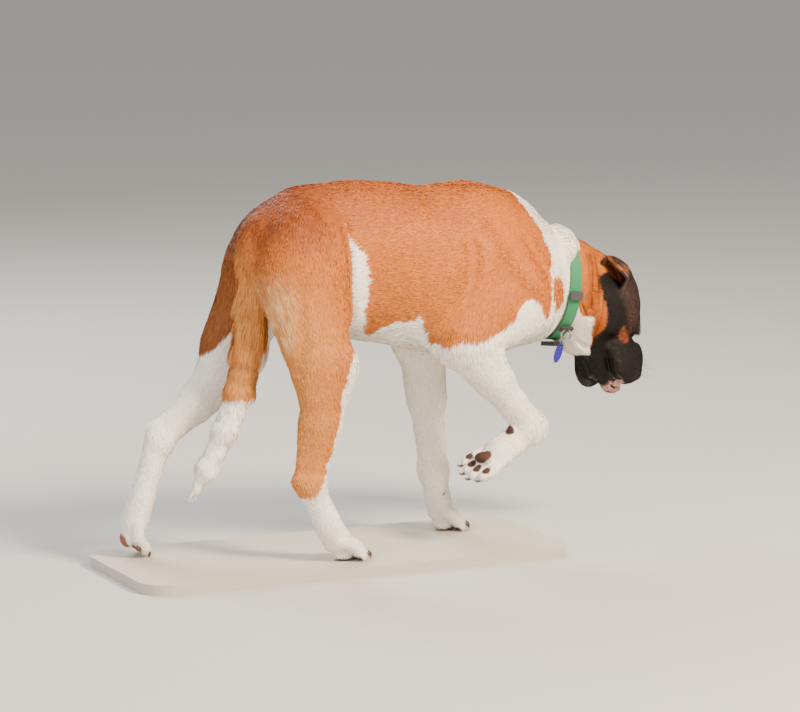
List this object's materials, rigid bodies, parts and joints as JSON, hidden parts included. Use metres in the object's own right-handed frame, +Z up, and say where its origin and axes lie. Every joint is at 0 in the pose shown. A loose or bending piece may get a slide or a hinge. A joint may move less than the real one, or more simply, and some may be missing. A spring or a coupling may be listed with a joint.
{
  "type": "saint bernard dog, still life-size model",
  "caption": "Life-size still model of a young smooth-coated saint bernard walking head down with one forepaw lifted, wearing a webbing collar with a tag, on a flat base.",
  "frame": {"origin": "the middle of the outer box, on the underside of the base", "axes": "+X the way the dog walks, +Y its left side, +Z up"},
  "size_m": [1.1352, 0.36, 0.7349],
  "materials": {
    "orange_coat": "short smooth hair, matte",
    "white_coat": "short smooth hair, matte",
    "dark_coat": "short smooth hair, soft sheen",
    "nose_skin": "damp pebbled skin",
    "eye": "wet and clear",
    "webbing": "woven nylon",
    "plastic": "moulded, satin",
    "steel": "polished wire",
    "tag_metal": "anodised",
    "base_paint": "painted matte board"
  },
  "bodies": {
    "root": {"tail": "orange_coat", "torso": "orange_coat", "neck": "white_coat", "head": "dark_coat", "lower_jaw": "white_coat", "nose": "nose_skin", "eye_left": "eye", "eye_right": "eye", "ear_left": "dark_coat", "ear_right": "dark_coat", "foreleg_left": "white_coat", "foreleg_right": "white_coat", "hindleg_left": "white_coat", "hindleg_right": "orange_coat", "paw_fore_left": "white_coat", "paw_fore_right": "white_coat", "paw_hind_right": "white_coat", "paw_hind_left": "white_coat", "collar_band": "webbing", "collar_slide": "steel", "collar_buckle": "plastic", "collar_ring": "steel", "collar_keeper": "plastic", "tag_ring": "steel", "tag": "tag_metal", "stand_base": "base_paint"}
  },
  "joints": []
}
